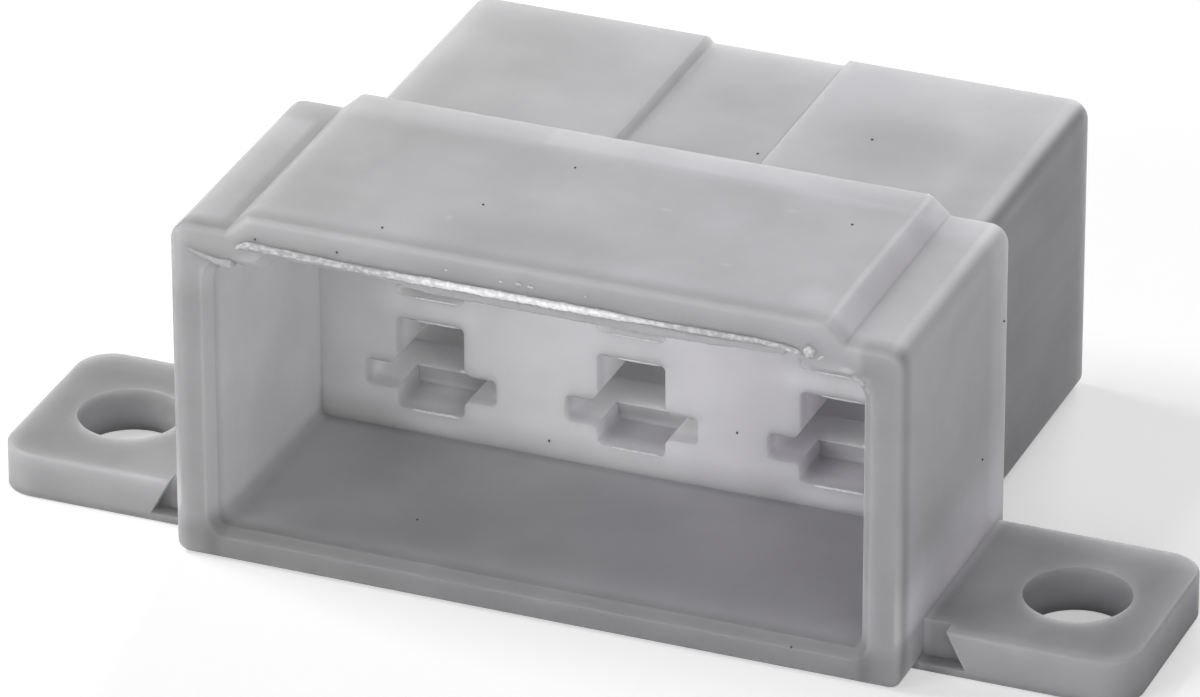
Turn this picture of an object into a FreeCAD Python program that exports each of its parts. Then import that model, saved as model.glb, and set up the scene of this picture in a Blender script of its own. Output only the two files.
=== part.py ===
import FreeCAD, Part
import math
import os

from FreeCAD import Vector

# A moulded nylon connector housing: an open rectangular shroud with a stepped roof in front, a solid
# block of terminal passages behind it, and a screw ear low on each side. All sizes are in millimetres.
# The origin lies midway between the two screw holes, on the underside. X runs across the housing,
# +Z is up, and the mouth of the shroud faces -Y.

# Terminal pattern
columns = 3
rows = 2
column_pitch = 10.0
row_pitch = 5.9

# Shroud around the mouth. The margin lies beside the end windows and the headroom above the top row.
mouth_margin = 2.4
mouth_headroom = 2.72
mouth_depth = 11.9
mouth_draft = 0.2
side_wall = 1.95
floor_wall = 1.55
roof_wall = 1.75
flange_wall = 2.0
step_height = 0.9
step_run = 1.0
shoulder_width = 2.75
lip_chamfer = 0.42

# Block of terminal passages behind the shroud
block_side = 1.9
block_roof = 1.52
block_length = 16.9
channel_width = 6.6
channel_depth = 0.45

# One passage: a cross-shaped window for the tab, then a chamber that is open at the back
window_ledge = 1.18
window_length = 5.0
foot_depth = 2.7
key_width = 3.4
key_height = 4.7
tab_width = 6.6
tab_height = 1.35
tab_rise = 0.9
chamber_width = 7.2
chamber_height = 4.4
chamber_rise = 0.35
entry_chamfer = 0.45

# Screw ears
ear_reach = 10.15
ear_depth = 10.8
ear_thickness = 2.2
ear_setback = 2.2
hole_radius = 2.5
hole_inset = 5.7
relief_top = 1.35
relief_foot = 2.3
relief_depth = 0.8
relief_floor = 0.35

# Corner and edge radii
base_radius = 0.6
shoulder_radius = 0.9
brow_radius = 0.45
step_foot_radius = 0.2
mouth_base_radius = 0.5
mouth_top_radius = 1.0
mouth_step_radius = 0.55
window_inner_radius = 0.45
window_outer_radius = 0.28
chamber_radius = 0.35
channel_radius = 0.2
ear_radius = 1.8
ear_edge_radius = 0.18
front_edge_radius = 0.28
flange_edge_radius = 0.5
block_edge_radius = 0.35

# Where things lie, worked out from the sizes above
mouth_y = -(ear_setback + ear_depth / 2)
back_y = mouth_y + mouth_depth
flange_y = back_y + flange_wall
window_end_y = back_y + window_length
rear_y = flange_y + block_length
pattern_half = (columns - 1) * column_pitch / 2
pattern_rise = (rows - 1) * row_pitch
mouth_half = pattern_half + tab_width / 2 + mouth_margin
block_half = pattern_half + chamber_width / 2 + block_side
shroud_half = mouth_half + side_wall
panel_half = shroud_half - shoulder_width - step_run
window_z = floor_wall + window_ledge
ceiling_z = window_z + pattern_rise + key_height + mouth_headroom
roof_z = ceiling_z + roof_wall
shoulder_z = roof_z - step_height
block_z = window_z + pattern_rise + chamber_rise + chamber_height + block_roof
ear_root = shroud_half - side_wall / 2
hole_x = shroud_half + hole_inset
beyond = 1.0


def loop(corners, place):
    """Closed wire through corners (u, v, radius), each rounded by an arc tangent to both its sides."""
    points = [Vector(u, v, 0) for u, v, _ in corners]
    count = len(points)
    spans = []
    for i, corner in enumerate(points):
        before = (points[i - 1] - corner).normalize()
        after = (points[(i + 1) % count] - corner).normalize()
        radius = corners[i][2]
        half_angle = before.getAngle(after) / 2
        reach = radius / math.tan(half_angle)
        inward = (before + after).normalize()
        middle = corner + inward * (radius / math.sin(half_angle) - radius)
        spans.append((corner + before * reach, middle, corner + after * reach))
    edges = []
    for i, (start, middle, end) in enumerate(spans):
        following = spans[(i + 1) % count][0]
        if corners[i][2] > 0:
            edges.append(Part.Arc(*[place(p.x, p.y) for p in (start, middle, end)]).toShape())
        edges.append(Part.LineSegment(place(end.x, end.y), place(following.x, following.y)).toShape())
    return Part.Wire(edges)


def upright(y):
    """Plane across the housing at depth y: u runs along X and v along Z."""
    return lambda u, v: Vector(u, y, v)


def prism(corners, start_y, end_y):
    """Solid with the same rounded section from start_y to end_y."""
    return Part.Face(loop(corners, upright(start_y))).extrude(Vector(0, end_y - start_y, 0))


def tapered(first, first_y, last, last_y):
    """Solid between two sections with the same number of corners."""
    ends = [loop(first, upright(first_y)), loop(last, upright(last_y))]
    return Part.makeLoft(ends, True, True)


def box(x_low, x_high, y_low, y_high, z_low, z_high):
    return Part.makeBox(x_high - x_low, y_high - y_low, z_high - z_low, Vector(x_low, y_low, z_low))


def outer_section():
    """Outside of the shroud: low shoulders at the sides and a raised panel along the middle."""
    right = [
        (shroud_half, 0, base_radius),
        (shroud_half, shoulder_z, shoulder_radius),
        (panel_half + step_run, shoulder_z, step_foot_radius),
        (panel_half, roof_z, brow_radius),
    ]
    return right + [(-u, v, r) for u, v, r in reversed(right)]


def mouth_section(grow, draft=0.0):
    """Inside of the shroud, which follows the stepped roof, grown outwards for the lip's chamfer."""
    side = mouth_half - draft + grow
    top = ceiling_z - draft / 2 + grow
    step = panel_half - roof_wall - draft + grow
    right = [
        (side, floor_wall - grow, mouth_base_radius + grow),
        (side, top - step_height, mouth_top_radius + grow),
        (step + step_run, top - step_height, mouth_step_radius),
        (step, top, mouth_step_radius + grow / 2),
    ]
    return right + [(-u, v, r) for u, v, r in reversed(right)]


def edges_where(shape, test):
    return [edge for edge in shape.Edges if test(edge.BoundBox)]


def farthest_x(bounds):
    """Largest distance of an edge from the housing's middle, across its width."""
    return max(abs(bounds.XMin), abs(bounds.XMax))


def shroud():
    """Stepped outer form with its edges rounded. The flange's top and sides stand proud of the block."""
    solid = prism(outer_section(), mouth_y, flange_y)
    front = edges_where(solid, lambda b: b.YMax < mouth_y + 0.01)
    solid = solid.makeFillet(front_edge_radius, front)
    crown = edges_where(solid, lambda b: b.YMin > flange_y - 0.01 and b.ZMax > base_radius + 0.01)
    return solid.makeFillet(flange_edge_radius, crown)


def mouth():
    """Hollow of the shroud: drafted walls, and a chamfered lip all round its front."""
    hollow = tapered(mouth_section(0), mouth_y, mouth_section(0, mouth_draft), back_y)
    lip = tapered(mouth_section(lip_chamfer + beyond), mouth_y - beyond, mouth_section(0), mouth_y + lip_chamfer)
    return hollow.fuse(lip)


def block():
    """Terminal block, narrower and lower than the shroud, with a shallow channel along its top."""
    section = [
        (block_half, 0, base_radius),
        (block_half, block_z, shoulder_radius),
        (-block_half, block_z, shoulder_radius),
        (-block_half, 0, base_radius),
    ]
    solid = prism(section, back_y, rear_y)
    rim = edges_where(solid, lambda b: b.YMin > rear_y - 0.01)
    solid = solid.makeFillet(block_edge_radius, rim)
    side = channel_width / 2
    floor_z = block_z - channel_depth
    groove = [
        (side, floor_z, channel_radius),
        (side + beyond, block_z + beyond, 0),
        (-side - beyond, block_z + beyond, 0),
        (-side, floor_z, channel_radius),
    ]
    return solid.cut(prism(groove, flange_y, rear_y + beyond))


def window_section(x, z):
    """Cross of an upright keyway and a wide, low slot for the tab, standing on height z."""
    key = key_width / 2
    tab = tab_width / 2
    low = z + tab_rise
    high = low + tab_height
    right = [
        (key, z, window_outer_radius),
        (key, low, window_outer_radius),
        (tab, low, window_outer_radius),
        (tab, high, window_outer_radius),
        (key, high, window_inner_radius),
        (key, z + key_height, window_outer_radius),
    ]
    return [(x + u, v, r) for u, v, r in right] + [(x - u, v, r) for u, v, r in reversed(right)]


def chamber_section(x, z, grow):
    half = chamber_width / 2 + grow
    low = z + chamber_rise - grow
    high = z + chamber_rise + chamber_height + grow
    corners = [(x + half, low), (x + half, high), (x - half, high), (x - half, low)]
    return [(u, v, chamber_radius) for u, v in corners]


def passage(x, z):
    """One terminal passage: window, chamber and flared entry. A catch for the terminal closes the foot
    of the keyway at the back, level with the floor of the tab slot."""
    window = prism(window_section(x, z), back_y - beyond, window_end_y + beyond / 2)
    half = tab_width / 2 - window_outer_radius
    catch = box(x - half, x + half, back_y + foot_depth, window_end_y + beyond, z - beyond, z + tab_rise)
    chamber = prism(chamber_section(x, z, 0), window_end_y, rear_y + beyond)
    flare = tapered(
        chamber_section(x, z, 0), rear_y - entry_chamfer,
        chamber_section(x, z, entry_chamfer + beyond), rear_y + beyond,
    )
    return window.cut(catch).fuse([chamber, flare])


def ear(side):
    """Flat lug with a screw hole and a rounded outer end. A small relief beside the wall opens forwards."""
    y_low = mouth_y + ear_setback
    y_high = y_low + ear_depth
    tip = shroud_half + ear_reach
    outline = [
        (side * ear_root, y_low, 0),
        (side * tip, y_low, ear_radius),
        (side * tip, y_high, ear_radius),
        (side * ear_root, y_high, 0),
    ]
    face = Part.Face(loop(outline, lambda u, v: Vector(u, v, 0)))
    plate = face.extrude(Vector(0, 0, ear_thickness))
    outer_rim = edges_where(plate, lambda b: b.ZMin > ear_thickness - 0.01 and farthest_x(b) > shroud_half)
    plate = plate.makeFillet(ear_edge_radius, outer_rim)
    hole = Part.makeCylinder(hole_radius, ear_thickness + 2 * beyond, Vector(side * hole_x, 0, -beyond))
    inner = side * (ear_root - beyond)
    slope = (relief_foot - relief_top) / (ear_thickness - relief_floor)
    above = relief_top - slope * beyond
    relief = [
        (inner, relief_floor, 0),
        (side * (shroud_half + relief_foot), relief_floor, 0),
        (side * (shroud_half + above), ear_thickness + beyond, 0),
        (inner, ear_thickness + beyond, 0),
    ]
    return plate.cut([hole, prism(relief, y_low - beyond, y_low + relief_depth)])


def housing():
    """The whole moulding. The shroud's own wall closes each relief on its inner side."""
    passages = []
    for row in range(rows):
        for column in range(columns):
            passages.append(passage(column * column_pitch - pattern_half, window_z + row * row_pitch))
    outside = shroud().fuse([block(), ear(-1), ear(1)])
    solid = outside.cut([mouth()] + passages).removeSplitter()
    return solid.Solids[0]


os.makedirs("parts", exist_ok=True)
housing().exportStep("parts/housing.step")
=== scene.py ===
import bpy
import numpy as np
from mathutils import Matrix, Vector


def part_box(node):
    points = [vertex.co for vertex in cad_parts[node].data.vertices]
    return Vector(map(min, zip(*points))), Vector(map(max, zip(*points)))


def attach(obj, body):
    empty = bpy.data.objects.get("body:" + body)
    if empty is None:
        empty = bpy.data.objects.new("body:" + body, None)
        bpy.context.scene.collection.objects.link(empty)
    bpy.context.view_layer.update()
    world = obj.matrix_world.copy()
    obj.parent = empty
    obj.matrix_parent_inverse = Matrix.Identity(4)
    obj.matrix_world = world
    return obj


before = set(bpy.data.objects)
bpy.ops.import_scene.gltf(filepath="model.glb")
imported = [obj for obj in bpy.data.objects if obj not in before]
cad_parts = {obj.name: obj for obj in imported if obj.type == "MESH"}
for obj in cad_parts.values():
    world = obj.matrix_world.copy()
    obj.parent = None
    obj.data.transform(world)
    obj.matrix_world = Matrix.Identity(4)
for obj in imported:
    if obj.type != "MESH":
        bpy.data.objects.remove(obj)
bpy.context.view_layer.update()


# The housing is one injection moulding in uncoloured nylon, with a slightly glossy skin.
# Light goes a few millimetres into it. Its colour carries painted shade and light: the thin walls, rims and
# ears are painted greyer than the thick block, the windows and openings lighter or darker, and the top
# painted darker over shallow sinks above the passages; the skin also shows soft clouds and a faint drag of
# the tool.
mm = 0.001
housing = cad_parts["housing"]
housing_low, housing_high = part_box("housing")

left_colour = (0.648, 0.648, 0.656, 1.0)
right_colour = (0.655, 0.645, 0.671, 1.0)
light_depth = 3.6 * mm
nylon_ior = 1.5
skin_roughness = (0.44, 0.56)
skin_shine = 0.32
clouding = 0.055
cloud_scale, drag_scale, grain_scale = 210.0, 900.0, 600.0
skin_relief = 0.012 * mm
edge_softness = 0.09 * mm

# Places on the housing, in mm in its own frame.
mouth_front = housing_low.y / mm
web_depth = 11.9
web_front = mouth_front + web_depth
window_end = web_front + 5.0
flange_back = web_front + 2.0
wall_inside = 15.7
wall_outside = 17.65
block_outside = 15.5
block_top = 14.9
roof_top = housing_high.z / mm
row_sills = {"lower": 2.73, "upper": 8.63}


def natural_nylon():
    """Milky nylon: light carried under the skin. Its tone is a product of soft-edged regions of painted
    light and shade, each one plus an amount times smooth steps on X, Y or Z, and of cloudy noise; the skin
    has a low noise relief."""
    material = bpy.data.materials.new("natural_nylon")
    material.use_nodes = True
    nodes, links = material.node_tree.nodes, material.node_tree.links
    shader = nodes["Principled BSDF"]
    shader.subsurface_method = "RANDOM_WALK"
    shader.inputs["Subsurface Weight"].default_value = 1.0
    shader.inputs["Subsurface Radius"].default_value = (1.0, 1.0, 1.0)
    shader.inputs["Subsurface Scale"].default_value = light_depth
    shader.inputs["IOR"].default_value = nylon_ior
    shader.inputs["Specular IOR Level"].default_value = skin_shine
    place = nodes.new("ShaderNodeTexCoord").outputs["Object"]
    split = nodes.new("ShaderNodeSeparateXYZ")
    links.new(place, split.inputs[0])
    across, depth, height = split.outputs

    def calculate(operation, first, second=None):
        """One number from one or two numbers or sockets, by the named operation."""
        node = nodes.new("ShaderNodeMath")
        node.operation = operation
        for socket, value in zip(node.inputs, (first, second)):
            if isinstance(value, bpy.types.NodeSocket):
                links.new(value, socket)
            elif value is not None:
                socket.default_value = value
        return node.outputs[0]

    def ramp(value, start, end, low=0.0, high=1.0):
        """Smooth step of a value from low, at start, to high, at end. The start may lie beyond the end."""
        node = nodes.new("ShaderNodeMapRange")
        node.interpolation_type = "SMOOTHSTEP"
        for name, number in (("From Min", start), ("From Max", end), ("To Min", low), ("To Max", high)):
            node.inputs[name].default_value = number
        links.new(value, node.inputs["Value"])
        return node.outputs["Result"]

    def step(value, start_mm, end_mm):
        """Smooth step of a coordinate from nothing at one place to one at another."""
        return ramp(value, start_mm * mm, end_mm * mm)

    def noise(scale, detail, stretch=(1.0, 1.0, 1.0)):
        """Soft noise on the housing's own coordinates, drawn out along axes where stretch is small."""
        mapping = nodes.new("ShaderNodeMapping")
        mapping.inputs["Scale"].default_value = stretch
        links.new(place, mapping.inputs["Vector"])
        node = nodes.new("ShaderNodeTexNoise")
        node.inputs["Scale"].default_value = scale
        node.inputs["Detail"].default_value = detail
        links.new(mapping.outputs["Vector"], node.inputs["Vector"])
        return node.outputs["Fac"]

    def patch(middle_mm, reach_mm):
        """One at a point, falling smoothly to nothing at an ellipsoid around it."""
        mapping = nodes.new("ShaderNodeMapping")
        mapping.inputs["Scale"].default_value = [1 / (reach * mm) for reach in reach_mm]
        mapping.inputs["Location"].default_value = [-at / reach for at, reach in zip(middle_mm, reach_mm)]
        links.new(place, mapping.inputs["Vector"])
        length = nodes.new("ShaderNodeVectorMath")
        length.operation = "LENGTH"
        links.new(mapping.outputs["Vector"], length.inputs[0])
        return ramp(length.outputs["Value"], 1.0, 0.1)

    side = calculate("ABSOLUTE", across)
    before_web = step(depth, web_front + 0.4, web_front - 1.0)
    at_rim = step(depth, mouth_front + 1.4, mouth_front + 0.2)
    on_ears = step(side, wall_outside, wall_outside + 0.6)
    within_walls = step(side, wall_inside + 1.0, wall_inside + 0.1)
    near_floor = step(height, 3.0, 1.3)
    block_sides = step(side, block_outside - 0.5, block_outside - 0.1)
    behind_flange = step(depth, flange_back, flange_back + 0.4)
    in_windows = step(depth, web_front + 0.3, web_front + 1.4)
    before_chambers = step(depth, window_end + 0.5, window_end - 0.3)
    under_block_top = step(height, block_top - 0.6, block_top - 1.2)
    within_block = step(side, block_outside - 0.6, block_outside - 1.4)
    side_walls = step(side, wall_outside - 0.4, wall_outside - 0.2)
    above_ears = calculate("MULTIPLY", step(height, 2.0, 2.6), step(height, 7.0, 3.0))
    on_roof = step(height, roof_top - 0.5, roof_top - 0.1)
    over_web = step(depth, web_front - 0.25, web_front + 0.15)
    right_of_tone_edge = step(across, -4.4, -4.0)
    on_bottom = step(height, 2.2, 1.2)
    right_strip = step(across, wall_inside - 0.3, wall_inside + 0.2)
    left_wall = step(across, 0.5 - wall_inside, -wall_inside)
    past_rim = step(depth, mouth_front + 0.2, mouth_front + 1.6)
    off_floor = step(height, 1.6, 2.6)
    not_ears = calculate("SUBTRACT", 1.0, on_ears)
    riser = calculate("MULTIPLY", step(across, 13.8, 14.0), step(across, 15.0, 14.85))
    above_shoulders = step(height, 16.92, 17.05)
    painted_light_and_shade_regions = [
        # Painted shade on the thin shroud, its rim, the ears, the mouth's floor and the block's sides,
        # darker than the thick block.
        (-0.15, before_web),
        (-0.30, at_rim),
        (-0.18, at_rim, on_bottom),
        (-0.21, at_rim, right_strip),
        (-0.37, on_ears),
        (-0.215, near_floor, within_walls, step(depth, web_front + 1.0, web_front + 0.3)),
        (-0.25, block_sides, behind_flange),
        (-0.30, block_sides, behind_flange, step(across, 0.0, 1.0)),
        # Painted light in the windows, for light carried through the nylon around them, with painted light
        # and shade on the ledge below and the strip above them.
        (0.44, in_windows, before_chambers, under_block_top, within_block),
        (-0.09, step(height, 3.4, 2.4), step(depth, web_front - 0.6, web_front - 0.2),
         step(depth, web_front + 0.6, web_front + 0.2), within_walls),
        (-0.10, patch((-12.8, 5.5, 4.3), (1.5, 1.8, 1.2))),
        (0.50, patch((-10.0, 5.8, 2.8), (2.2, 1.8, 1.0))),
        (0.20, patch((-10.0, 6.8, 2.9), (2.2, 0.9, 1.0))),
        (0.24, patch((10.0, 5.8, 2.8), (2.2, 1.8, 1.0))),
        (-0.30, patch((0.0, 7.0, 3.3), (2.2, 0.4, 0.6))),
        (0.34, patch((10.3, 4.3, 8.0), (4.0, 1.5, 1.2))),
        (0.36, patch((-9.9, 4.8, 8.3), (3.4, 2.2, 1.8))),
        (0.24, patch((-10.2, 4.3, 2.1), (2.8, 0.7, 0.9))),
        (0.26, patch((9.8, 4.3, 2.1), (3.0, 0.7, 0.9))),
        # Pale shreds smeared on the right corner of the lip.
        (0.28, patch((15.0, -7.6, 15.7), (0.55, 0.4, 0.2))),
        (0.34, patch((15.8, -7.6, 15.35), (0.45, 0.4, 0.3))),
        (0.28, patch((15.9, -7.6, 14.85), (0.25, 0.4, 0.22))),
        # Painted shade on the web's left end, and painted light on the walls of the two screw holes.
        (-0.14, patch((-2.8, 5.5, 4.3), (1.5, 1.8, 1.2))),
        (-0.05, step(across, -12.0, -15.5), step(depth, web_front - 0.3, web_front), before_chambers),
        (1.35, patch((-23.35, 0.0, 0.5), (3.9, 3.9, 1.9))),
        (1.35, patch((23.35, 0.0, 0.5), (3.9, 3.9, 1.9))),
        # Painted light and shade at the mouth's left corner: lighter floor, wall behind the chamfer and
        # chamfer, and a darker outer edge.
        (0.36, near_floor, before_web, past_rim, within_walls, step(across, -10.5, -15.2)),
        (0.12, left_wall, step(depth, mouth_front, mouth_front + 0.3), off_floor, not_ears,
         step(depth, mouth_front + 1.5, mouth_front + 0.6), step(height, 15.3, 14.5)),
        (-0.16, step(across, -17.1, -17.5), at_rim, step(height, 3.0, 4.0)),
        (0.20, step(across, -16.3, -16.05), step(across, -15.45, -15.65), at_rim, off_floor,
         step(height, 15.3, 14.5)),
        # Painted light and shade on the chambers' front ends, the ears, and the shroud's walls, strips and
        # riser.
        (0.44, step(depth, window_end, window_end + 0.5), step(depth, window_end + 7.0, window_end + 2.0),
         under_block_top, within_block),
        (0.22, patch((19.0, 1.0, 2.2), (2.6, 5.0, 2.0))),
        (0.28, patch((24.5, 4.0, 2.2), (4.5, 3.5, 2.0))),
        (0.16, patch((-19.8, -3.0, 2.2), (3.0, 4.0, 2.0))),
        (-0.10, side_walls, past_rim, step(height, 3.0, 8.0), not_ears),
        (-0.16, at_rim, step(across, -15.2, -15.8), step(height, 15.0, 13.0)),
        (-0.12, step(across, -14.8, -15.0), step(height, 16.2, 16.8)),
        (-0.10, on_roof, over_web, step(across, 6.0, 11.0)),
        (0.20, left_wall, before_web, past_rim, off_floor, not_ears),
        (0.10, left_wall, before_web, step(depth, 0.0, 4.0), off_floor, not_ears),
        (0.30, side_walls, above_ears, not_ears),
        (0.27, riser, above_shoulders, step(depth, mouth_front + 0.05, mouth_front + 0.3)),
        # Painted light on the panel's rear strip over the web, right of a slanted edge.
        (0.07, on_roof, over_web, right_of_tone_edge, step(across, 12.0, 5.0)),
        # Painted shade and light on the block's top and on the panel, darker over the passages beneath,
        # then small lighter marks on the panel.
        (0.16, patch((-5.5, 11.0, 14.9), (4.5, 6.0, 3.0))),
        (-0.20, patch((9.0, 15.0, 14.9), (5.0, 5.0, 3.0))),
        (-0.10, patch((-10.0, 18.0, 14.9), (5.0, 5.0, 3.0))),
        (-0.12, patch((0.0, 19.0, 14.4), (5.0, 7.0, 3.0))),
        (-0.12, patch((14.0, 14.0, 14.9), (2.0, 8.0, 2.0))),
        (-0.12, patch((-1.0, -5.0, 17.8), (7.0, 3.0, 3.0))),
        (0.03, patch((-1.0, 0.0, 17.8), (6.0, 3.0, 3.0))),
        (0.12, patch((3.4, 0.1, 17.8), (0.5, 0.25, 0.5))),
        (0.14, patch((-5.36, -4.2, 17.8), (0.18, 0.4, 0.5))),
        (0.10, patch((8.7, 2.1, 17.8), (0.6, 0.3, 0.5))),
        (0.10, patch((7.8, -3.9, 17.8), (0.5, 0.25, 0.5))),
        (0.10, patch((12.6, -5.4, 17.8), (1.6, 1.6, 0.8))),
    ]
    # Painted shade on the foot of each row's keyways, and on the face of the catch behind it.
    for sill in row_sills.values():
        under_foot_top = step(height, sill + 0.89, sill + 0.8)
        in_foot = calculate("MULTIPLY", under_foot_top, step(height, sill - 0.2, sill - 0.1))
        painted_light_and_shade_regions += [
            (-0.36, in_foot, in_windows, before_chambers, within_block),
            (-0.22, in_foot, step(depth, web_front + 2.6, web_front + 2.7), before_chambers, within_block,
             step(height, sill + 0.1, sill + 0.4)),
        ]
    # Painted light on the web's face just above the sills of the upper windows.
    painted_light_and_shade_regions.append((
        0.3, step(height, 8.5, 8.6), step(height, 9.6, 9.4), within_block,
        step(depth, web_front + 0.02, web_front + 0.2), step(depth, web_front + 1.6, web_front + 0.6),
    ))
    tone = ramp(noise(cloud_scale, 4.0), 0.3, 0.7, 1.0 - clouding, 1.0 + clouding)
    for amount, *masks in painted_light_and_shade_regions:
        mask = masks[0]
        for further in masks[1:]:
            mask = calculate("MULTIPLY", mask, further)
        tone = calculate("MULTIPLY", tone, calculate("ADD", calculate("MULTIPLY", mask, amount), 1.0))
    tint = nodes.new("ShaderNodeMix")
    tint.data_type = "RGBA"
    tint.inputs["A"].default_value, tint.inputs["B"].default_value = left_colour, right_colour
    links.new(step(across, -14.0, 6.0), tint.inputs["Factor"])
    colour = nodes.new("ShaderNodeVectorMath")
    colour.operation = "SCALE"
    links.new(tint.outputs["Result"], colour.inputs[0])
    links.new(tone, colour.inputs["Scale"])
    links.new(colour.outputs["Vector"], shader.inputs["Base Color"])

    drag = noise(drag_scale, 3.0, (1.0, 0.12, 1.0))
    links.new(ramp(drag, 0.25, 0.75, *skin_roughness), shader.inputs["Roughness"])
    soft_edge = nodes.new("ShaderNodeBevel")
    soft_edge.samples = 4
    soft_edge.inputs["Radius"].default_value = edge_softness
    bump = nodes.new("ShaderNodeBump")
    bump.inputs["Distance"].default_value = skin_relief
    links.new(noise(grain_scale, 5.0), bump.inputs["Height"])
    links.new(soft_edge.outputs["Normal"], bump.inputs["Normal"])
    links.new(bump.outputs["Normal"], shader.inputs["Normal"])
    return material


nylon = natural_nylon()
for slot in housing.material_slots:
    slot.material = nylon


# Flash: where the two halves of the mould met at the mouth, the lip's upper edge is rolled over. A thin
# uneven film of nylon stands along it and down the left shoulder, with torn burrs at both its ends and a
# shred on the right. It is glassy and scuffed, and its colour is lighter over the middle, a painted
# highlight.
flash_gloss = (0.62, 0.2)
flash_grain = 0.025 * mm
film_depth = 0.3 * mm
film_top_fade = 0.2
scuff_scale = 6000.0
scuff_steps = (0.42, 0.62)
scuff_stretch = (0.6, 1.0, 1.0)
bead_pitch = 0.05
bead_turns = 14
bead_closing = 0.3
bead_waves = (3.1, 1.7, 0.9, 0.5, 0.31)


def bead(name, finish, corners_mm, radii_mm, forward_mm, softening_mm, roughness, seed):
    """Bead along a path of (x, z) corners, which a running mean softens. Its radius follows (x, radius)
    pairs, times one plus a sum of seeded sines along and around it, and closes smoothly at both ends."""
    corners_mm, radii_mm = np.array(corners_mm), np.array(radii_mm)
    lengths = np.hypot(*np.diff(corners_mm, axis=0).T)
    run = np.concatenate([[0.0], np.cumsum(lengths)])
    at = np.linspace(0.0, run[-1], int(run[-1] / bead_pitch) + 2)
    line = np.column_stack([np.interp(at, run, corners_mm[:, 0]), np.interp(at, run, corners_mm[:, 1])])
    reach = max(1, int(softening_mm / bead_pitch))
    padded = np.pad(line, ((reach, reach), (0, 0)), mode="edge")
    window = np.full(2 * reach + 1, 1.0 / (2 * reach + 1))
    line = np.column_stack([np.convolve(padded[:, i], window, mode="valid") for i in (0, 1)])
    heading = np.gradient(line, axis=0)
    heading /= np.linalg.norm(heading, axis=1)[:, None]
    angle = np.linspace(0.0, 2 * np.pi, bead_turns, endpoint=False)
    chance = np.random.default_rng(seed)
    swell = np.zeros((len(at), bead_turns))
    for wave in bead_waves:
        phase, twist = chance.uniform(0.0, 2 * np.pi, 2), chance.integers(0, 3)
        swell += np.sin(2 * np.pi * at[:, None] / wave + phase[0] + twist * (angle[None, :] + phase[1]))
    closing = np.sqrt(np.clip(np.minimum(at, run[-1] - at) / bead_closing, 0.0, 1.0))
    radius = np.interp(line[:, 0], radii_mm[:, 0], radii_mm[:, 1]) * closing
    radius = radius[:, None] * (1.0 + roughness * swell)
    outward = np.cos(angle)[None, :] * radius
    depth = mouth_front + forward_mm + np.sin(angle)[None, :] * radius
    x = line[:, :1] - heading[:, 1:] * outward
    z = line[:, 1:] + heading[:, :1] * outward
    points = np.stack([x, depth, z], axis=2).reshape(-1, 3) * mm
    ring = np.arange(len(at) - 1)[:, None] * bead_turns
    after = ring + bead_turns
    here, there = np.arange(bead_turns)[None, :], (np.arange(bead_turns)[None, :] + 1) % bead_turns
    quads = np.stack([ring + here, ring + there, after + there, after + here], axis=2)
    mesh = bpy.data.meshes.new(name)
    mesh.from_pydata(points.tolist(), [], quads.reshape(-1, 4).tolist())
    mesh.shade_smooth()
    mesh.materials.append(finish)
    piece = bpy.data.objects.new(name, mesh)
    bpy.context.collection.objects.link(piece)
    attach(piece, "root")


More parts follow.
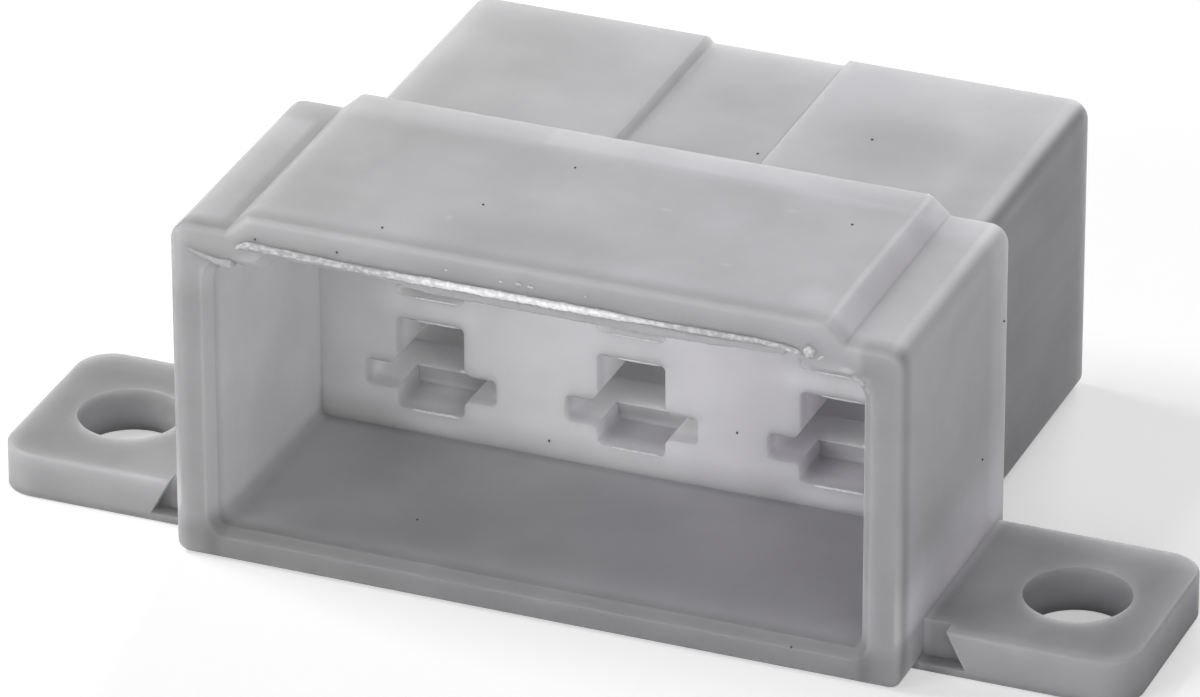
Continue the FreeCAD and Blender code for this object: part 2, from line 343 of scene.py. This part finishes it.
def scuffed_film(name, dull, bright, bright_mm, fade_mm, relief):
    """The same nylon where it is thin enough to be glassy: glossy and in the bright shades between two
    places across the housing and up to a height, by smooth steps on X and Z, duller and in the dull shades
    beyond, and broken up in its colour and in its relief by fine noise, which is drawn out along the
    housing's width. Bright shades lighter than the dull ones are a painted highlight."""
    material = bpy.data.materials.new(name)
    material.use_nodes = True
    nodes, links = material.node_tree.nodes, material.node_tree.links
    shader = nodes["Principled BSDF"]
    shader.inputs["Subsurface Weight"].default_value = 1.0
    shader.inputs["Subsurface Radius"].default_value = (1.0, 1.0, 1.0)
    shader.inputs["Subsurface Scale"].default_value = film_depth
    shader.inputs["IOR"].default_value = nylon_ior
    place = nodes.new("ShaderNodeTexCoord").outputs["Object"]
    split = nodes.new("ShaderNodeSeparateXYZ")
    links.new(place, split.inputs[0])
    low, high, top = bright_mm
    edges = (("X", low - fade_mm, low), ("X", high + fade_mm, high), ("Z", top + film_top_fade, top))
    inside = []
    for axis, start, end in edges:
        step = nodes.new("ShaderNodeMapRange")
        step.interpolation_type = "SMOOTHSTEP"
        step.inputs["From Min"].default_value = start * mm
        step.inputs["From Max"].default_value = end * mm
        links.new(split.outputs[axis], step.inputs["Value"])
        inside.append(step.outputs["Result"])
    span, middle = nodes.new("ShaderNodeMath"), nodes.new("ShaderNodeMath")
    span.operation = middle.operation = "MULTIPLY"
    factors = (*inside[:2], span.outputs[0], inside[2])
    for socket, factor in zip((*span.inputs[:2], *middle.inputs[:2]), factors):
        links.new(factor, socket)
    gloss = nodes.new("ShaderNodeMapRange")
    gloss.inputs["To Min"].default_value, gloss.inputs["To Max"].default_value = flash_gloss
    links.new(middle.outputs[0], gloss.inputs["Value"])
    links.new(gloss.outputs["Result"], shader.inputs["Roughness"])
    grain = nodes.new("ShaderNodeTexNoise")
    grain.inputs["Scale"].default_value = scuff_scale
    grain.inputs["Detail"].default_value = 4.0
    streaks = nodes.new("ShaderNodeMapping")
    streaks.inputs["Scale"].default_value = scuff_stretch
    links.new(place, streaks.inputs["Vector"])
    links.new(streaks.outputs["Vector"], grain.inputs["Vector"])
    mix = nodes.new("ShaderNodeMix")
    mix.data_type = "RGBA"
    links.new(middle.outputs[0], mix.inputs["Factor"])
    for socket, (dark, light) in ((mix.inputs["A"], dull), (mix.inputs["B"], bright)):
        shades = nodes.new("ShaderNodeValToRGB")
        first, last = shades.color_ramp.elements
        first.position, last.position = scuff_steps
        first.color, last.color = (dark, dark, dark * 1.02, 1.0), (light, light, light * 1.01, 1.0)
        links.new(grain.outputs["Fac"], shades.inputs["Fac"])
        links.new(shades.outputs["Color"], socket)
    links.new(mix.outputs["Result"], shader.inputs["Base Color"])
    bump = nodes.new("ShaderNodeBump")
    bump.inputs["Distance"].default_value = relief
    links.new(grain.outputs["Fac"], bump.inputs["Height"])
    links.new(bump.outputs["Normal"], shader.inputs["Normal"])
    return material


# The flash's bright shades, lighter than its dull ones, are a painted highlight over the middle.
film = scuffed_film("flash_nylon", (0.40, 0.60), (0.70, 0.91), (-3.5, 3.4, 16.36), 4.8, 0.6 * flash_grain)
smooth_film = scuffed_film(
    "ridge_nylon", (0.40, 0.46), (0.40, 0.46), (-6.0, 3.4, 20.0), 4.0, 0.1 * flash_grain
)
burr_film = scuffed_film(
    "burr_nylon", (0.42, 0.64), (0.42, 0.64), (40.0, 50.0, 20.0), 1.0, 0.6 * flash_grain
)

roll_line = [(-12.1, 16.05), (-8.0, 16.05), (-5.0, 15.92), (8.0, 15.92), (12.3, 16.05)]
roll_radii = [(-12.1, 0.12), (-8.0, 0.14), (-5.0, 0.33), (6.0, 0.33), (12.3, 0.2)]
shoulder_line = [(-17.35, 15.95), (-16.1, 15.5), (-15.1, 15.32), (-14.4, 15.24)]
shoulder_radii = [(-17.35, 0.28), (-16.0, 0.34), (-14.4, 0.31)]
lip_line = [
    (-14.5, 16.0), (-14.2, 16.3), (-13.7, 16.42), (-12.2, 16.38), (-9.2, 16.29), (-6.3, 16.25),
    (4.1, 16.26), (4.7, 16.20), (6.6, 16.24), (10.9, 16.36), (12.0, 16.26), (12.9, 16.06),
]
lip_radii = [
    (-14.5, 0.14), (-13.6, 0.25), (-11.0, 0.22), (-8.0, 0.22), (-5.0, 0.25), (3.6, 0.25), (4.8, 0.17),
    (6.6, 0.15), (7.4, 0.17), (9.0, 0.20), (10.9, 0.17), (12.9, 0.16),
]
upper_line = [(12.85, 16.5), (13.2, 16.3), (13.5, 15.95)]
middle_line = [(13.6, 16.25), (13.85, 15.9)]
burr_radii = [(12.9, 0.37), (13.6, 0.42)]
scuff_line = [(-14.3, 15.95), (-13.7, 16.25), (-12.0, 16.24), (-9.5, 16.16)]
scuff_radii = [(-14.3, 0.22), (-9.5, 0.16)]
shred_line = [(15.05, 15.55), (15.5, 15.35), (16.0, 15.0)]
shred_radii = [(14.7, 0.28), (16.1, 0.28)]

# Each one's place before the rim, softening, roughness and seed follow its path and radii.
bead("rolled_lip", nylon, roll_line, roll_radii, 0.22, 0.5, 0.02, 1)
bead("shoulder_ridge", smooth_film, shoulder_line, shoulder_radii, 0.30, 0.3, 0.008, 2)
bead("lip_flash", film, lip_line, lip_radii, 0.12, 0.3, 0.03, 3)
bead("upper_burr", burr_film, upper_line, burr_radii, 0.26, 0.1, 0.03, 5)
bead("middle_burr", burr_film, middle_line, burr_radii, 0.27, 0.1, 0.03, 6)
bead("left_scuff_burr", burr_film, scuff_line, scuff_radii, 0.36, 0.3, 0.05, 12)
bead("shred_burr", smooth_film, shred_line, shred_radii, 0.25, 0.1, 0.02, 8)


# Slivers: hair-thin flash was left where the mould's cores met in the windows, along the sill and the top
# of each window and along the back edges of the catches of the outer columns. It stands a little proud,
# and its pale colour, lighter than the nylon's, is a painted glint.
column_centres = {"left": -10.0, "middle": 0.0, "right": 10.0}
window_height = 4.7
catch_height = 0.97
catch_back = 14.57
sliver_end = 1.5
sliver_softening = 0.1
sliver_roughness = 0.05
sliver_seed = 11
sill_radius = 0.07
middle_sill_radius = 0.045
top_radius = 0.045
catch_radius = 0.125

# Pale film, a painted glint on the slivers; the flecks take it too, as their own pale colour.
glint_and_fleck_film = scuffed_film(
    "sliver_nylon", (0.8, 0.96), (0.8, 0.96), (-20.0, 20.0, 20.0), 1.0, 0.3 * flash_grain
)
for row, sill in row_sills.items():
    for column, centre in column_centres.items():
        glint = middle_sill_radius if column == "middle" else sill_radius
        ends = [
            ("front", web_depth, -1.0, sill, glint),
            ("top", web_depth, -0.7, sill + window_height, top_radius),
        ]
        if column != "middle":
            ends.append(("rear", catch_back, 0.3, sill + catch_height, catch_radius))
        for end, forward, start, level, radius in ends:
            bead(
                "_".join((row, column, end, "sliver")), glint_and_fleck_film,
                [(centre + start, level), (centre + sliver_end, level)], [(-20.0, radius), (20.0, radius)],
                forward, sliver_softening, sliver_roughness, sliver_seed,
            )


# A few dark grains of burnt nylon or dust, smaller than a pinhead, are moulded into the skin, and a few
# pale flecks stand on the front.
grain_radius = 0.065
char_scale = 6000.0
char_dark = (0.03, 0.027, 0.025, 1.0)
char_pale = (0.16, 0.15, 0.14, 1.0)
char_roughness = 0.6
mouth_floor = 1.55
grain_places = np.array([
    (-1.98, 2.47, roof_top), (-7.76, -6.25, roof_top), (-4.43, -2.48, roof_top), (11.67, 1.8, roof_top),
    (-13.4, -7.6, 16.8), (-9.4, -7.6, 16.9), (7.52, 15.54, 14.9), (2.81, 13.07, 14.45),
    (-7.42, -3.47, mouth_floor), (12.46, -7.6, 1.2), (-11.11, 4.3, 9.36),
    (5.24, 4.3, 4.7), (-4.07, 4.3, 2.43), (17.65, 2.9, 6.5), (17.65, 5.5, 12.3),
])
fleck_radius = 0.055
fleck_places = np.array([
    (-1.5, -7.6, 16.95), (-1.42, -7.6, 16.94), (-0.7, -7.6, 17.0), (-0.61, -7.6, 17.0),
    (-0.53, -7.6, 16.99), (-0.14, -7.6, 16.96), (-0.05, -7.6, 16.94), (0.04, -7.6, 16.94),
    (-4.1, -7.6, 17.02), (2.6, -7.6, 16.98),
])


def small_balls(name, centres_mm, radius_mm, turns=8, rings=5):
    """Balls at the given centres: rings of points at even longitudes and polar angles, their sine the
    ring's radius and their cosine its height, with a point at each pole."""
    polar = np.linspace(0.0, np.pi, rings + 2)[1:-1]
    around = np.linspace(0.0, 2 * np.pi, turns, endpoint=False)
    belt = np.stack([
        np.outer(np.sin(polar), np.cos(around)), np.outer(np.sin(polar), np.sin(around)),
        np.outer(np.cos(polar), np.ones(turns)),
    ], axis=2).reshape(-1, 3)
    ball = np.vstack([belt, [(0.0, 0.0, 1.0), (0.0, 0.0, -1.0)]]) * radius_mm * mm
    ring, step = np.arange(rings - 1)[:, None] * turns, np.arange(turns)
    after = (step + 1) % turns
    sides = np.stack([ring + step, ring + turns + step, ring + turns + after, ring + after], axis=2)
    top = np.stack([np.full(turns, len(belt)), step, after], axis=1)
    last = (rings - 1) * turns
    bottom = np.stack([np.full(turns, len(belt) + 1), last + after, last + step], axis=1)
    shift = np.arange(len(centres_mm)) * len(ball)
    points = (centres_mm[:, None, :] * mm + ball[None]).reshape(-1, 3)
    faces = []
    for pattern in (sides.reshape(-1, 4), top, bottom):
        faces += (pattern[None] + shift[:, None, None]).reshape(-1, pattern.shape[1]).tolist()
    mesh = bpy.data.meshes.new(name)
    mesh.from_pydata(points.tolist(), [], faces)
    mesh.shade_smooth()
    balls = bpy.data.objects.new(name, mesh)
    bpy.context.collection.objects.link(balls)
    return balls


grains = small_balls("dark_grains", grain_places, grain_radius)
char = bpy.data.materials.new("charred_nylon")
char.use_nodes = True
char_nodes, char_links = char.node_tree.nodes, char.node_tree.links
char_place = char_nodes.new("ShaderNodeTexCoord").outputs["Object"]
char_noise = char_nodes.new("ShaderNodeTexNoise")
char_noise.inputs["Scale"].default_value = char_scale
char_links.new(char_place, char_noise.inputs["Vector"])
char_shades = char_nodes.new("ShaderNodeValToRGB")
char_shades.color_ramp.elements[0].color = char_dark
char_shades.color_ramp.elements[1].color = char_pale
char_links.new(char_noise.outputs["Fac"], char_shades.inputs["Fac"])
char_links.new(char_shades.outputs["Color"], char_nodes["Principled BSDF"].inputs["Base Color"])
char_nodes["Principled BSDF"].inputs["Roughness"].default_value = char_roughness
grains.data.materials.append(char)
flecks = small_balls("pale_flecks", fleck_places, fleck_radius)
flecks.data.materials.append(glint_and_fleck_film)
for specks in (grains, flecks):
    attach(specks, "root")


# The housing lies on a plain pale table top with a smooth matt paint, which takes its soft shadow.
# Seen directly, or in a gloss, the paint also glows a little, so that it looks nearly white.
table_size = 3.0
table_gap = 0.05 * mm
table_colour = (0.80, 0.80, 0.81, 1.0)
table_roughness = 0.8
table_glow = 0.42

corners = np.array([[-1, -1], [1, -1], [1, 1], [-1, 1]]) * table_size / 2
table_points = np.column_stack([corners, np.full(4, housing_low.z - table_gap)])
table_mesh = bpy.data.meshes.new("table_top")
table_mesh.from_pydata(table_points.tolist(), [], [(0, 1, 2, 3)])
table = bpy.data.objects.new("table_top", table_mesh)
bpy.context.collection.objects.link(table)
table_paint = bpy.data.materials.new("table_paint")
table_paint.use_nodes = True
paint_nodes, paint_links = table_paint.node_tree.nodes, table_paint.node_tree.links
paint = paint_nodes["Principled BSDF"]
paint.inputs["Base Color"].default_value = table_colour
paint.inputs["Roughness"].default_value = table_roughness
paint.inputs["Emission Color"].default_value = (1.0, 1.0, 1.0, 1.0)
ray = paint_nodes.new("ShaderNodeLightPath")
seen = ray.outputs["Is Camera Ray"]
for kind in ("Is Glossy Ray", "Is Transmission Ray"):
    larger = paint_nodes.new("ShaderNodeMath")
    larger.operation = "MAXIMUM"
    paint_links.new(seen, larger.inputs[0])
    paint_links.new(ray.outputs[kind], larger.inputs[1])
    seen = larger.outputs[0]
glow = paint_nodes.new("ShaderNodeMath")
glow.operation = "MULTIPLY"
glow.inputs[1].default_value = table_glow
paint_links.new(seen, glow.inputs[0])
paint_links.new(glow.outputs[0], paint.inputs["Emission Strength"])
table_mesh.materials.append(table_paint)


# Studio light: five square soft boxes at arm's length, most of it from the left and from behind, so the
# block and the panel are even and the right-hand sides fall into a soft shade.
box_distance = 450.0
box_side = 200.0
box_level = 1.1
aim = (0.0, 0.0, 8.0)
room_colour = (0.9, 0.9, 0.92, 1.0)
room_strength = 0.12


def soft_box(name, azimuth, elevation, watts):
    """Square lamp aimed at the housing's middle. Azimuth is 0 in front of the mouth and 90 to its right."""
    lamp = bpy.data.lights.new(name, "AREA")
    lamp.shape = "SQUARE"
    lamp.size = box_side * mm
    lamp.energy = watts
    holder = bpy.data.objects.new(name, lamp)
    turn, lift = np.radians(azimuth), np.radians(elevation)
    away = Vector((np.sin(turn) * np.cos(lift), -np.cos(turn) * np.cos(lift), np.sin(lift)))
    place = Vector(aim) * mm + away * box_distance * mm
    holder.matrix_world = Matrix.Translation(place) @ away.to_track_quat("Z", "Y").to_matrix().to_4x4()
    bpy.context.collection.objects.link(holder)


soft_box("front_left_box", -35.0, 15.0, 0.80 * box_level)
soft_box("front_box", 0.0, 10.0, 0.29 * box_level)
soft_box("front_right_box", 40.0, 15.0, 0.475 * box_level)
soft_box("back_box", 180.0, 25.0, 0.72 * box_level)
soft_box("left_box", -90.0, 50.0, 0.82 * box_level)

room = bpy.data.worlds.new("room")
room.use_nodes = True
room.node_tree.nodes["Background"].inputs["Color"].default_value = room_colour
room.node_tree.nodes["Background"].inputs["Strength"].default_value = room_strength
bpy.context.scene.world = room


# The camera stands where the photograph was taken from, above and to the right of the mouth, about
# 0.4 m away, with a long lens. Its frame is square to the view, but for a roll of a seventh of a degree.
view_azimuth = np.radians(21.977)
view_elevation = np.radians(27.785)
view_roll = np.radians(-0.137)
view_distance = 435.888 * mm
view_target = np.array([3.278, -7.6, 14.511]) * mm
focal_pixels = 9815.0
photo_width = 1200.0
sensor_width = 36.0
clip_range = (0.01, 10.0)

back = np.array([
    np.sin(view_azimuth) * np.cos(view_elevation),
    -np.cos(view_azimuth) * np.cos(view_elevation),
    np.sin(view_elevation),
])
level = np.array([np.cos(view_azimuth), np.sin(view_azimuth), 0.0])
upward = np.cross(back, level)
right = np.cos(view_roll) * level + np.sin(view_roll) * upward
up = np.cos(view_roll) * upward - np.sin(view_roll) * level
eye = view_target + back * view_distance
placing = np.eye(4)
placing[:3, :] = np.column_stack([right, up, back, eye])
lens = bpy.data.cameras.new("camera")
lens.sensor_width = sensor_width
lens.lens = focal_pixels / photo_width * sensor_width
lens.clip_start, lens.clip_end = clip_range
camera = bpy.data.objects.new("camera", lens)
camera.matrix_world = Matrix(placing.tolist())
bpy.context.collection.objects.link(camera)
bpy.context.scene.camera = camera
bpy.context.scene.view_settings.view_transform = "Standard"
